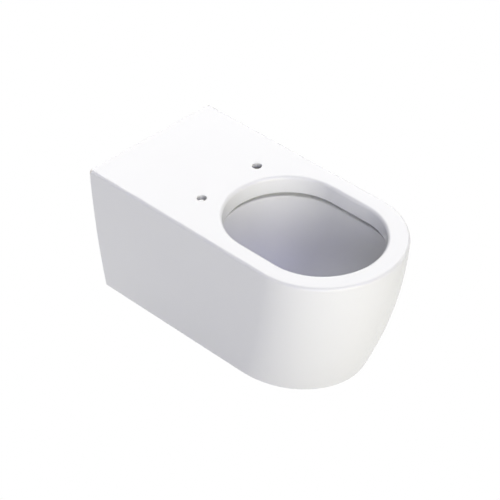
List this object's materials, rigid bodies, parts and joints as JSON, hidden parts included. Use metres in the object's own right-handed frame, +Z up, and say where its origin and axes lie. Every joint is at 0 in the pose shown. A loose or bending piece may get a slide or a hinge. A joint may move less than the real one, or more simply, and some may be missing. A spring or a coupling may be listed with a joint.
{
  "type": "wall-hung toilet pan",
  "caption": "Long-projection wall-hung toilet pan in white vitreous china with a D-shaped deck, long oval bowl, seat hinge holes and concealed wall fixings; no seat or cistern.",
  "frame": {"origin": "on the wall plane, midway between the two wall stud axes", "axes": "+Z up, +Y into the wall, so the bowl reaches out towards -Y; X across the pan"},
  "size_m": [0.3596, 0.6994, 0.33],
  "materials": {
    "vitreous_china": "white gloss glaze",
    "seal_rubber": "matt black moulded rubber",
    "plated_steel": "bright zinc plate",
    "bush_nylon": "natural nylon",
    "insert_brass": "turned brass"
  },
  "bodies": {
    "pan": {"pan_body": "vitreous_china", "flush_cone": "seal_rubber", "fixing_sleeve_left": "plated_steel", "stud_washer_left": "plated_steel", "stud_nut_left": "plated_steel", "sleeve_bush_left": "bush_nylon", "thread_insert_left": "insert_brass", "fixing_sleeve_right": "plated_steel", "stud_washer_right": "plated_steel", "stud_nut_right": "plated_steel", "sleeve_bush_right": "bush_nylon", "thread_insert_right": "insert_brass"},
    "lock_screw_left": {"lock_screw_left": "plated_steel"},
    "lock_screw_right": {"lock_screw_right": "plated_steel"}
  },
  "joints": [
    {"name": "lock_screw_left_travel", "type": "slide", "parent": "pan", "child": "lock_screw_left", "axis": [0, 0, -1], "range_m": [0, 0.006]},
    {"name": "lock_screw_right_travel", "type": "slide", "parent": "pan", "child": "lock_screw_right", "axis": [0, 0, -1], "range_m": [0, 0.006]}
  ]
}
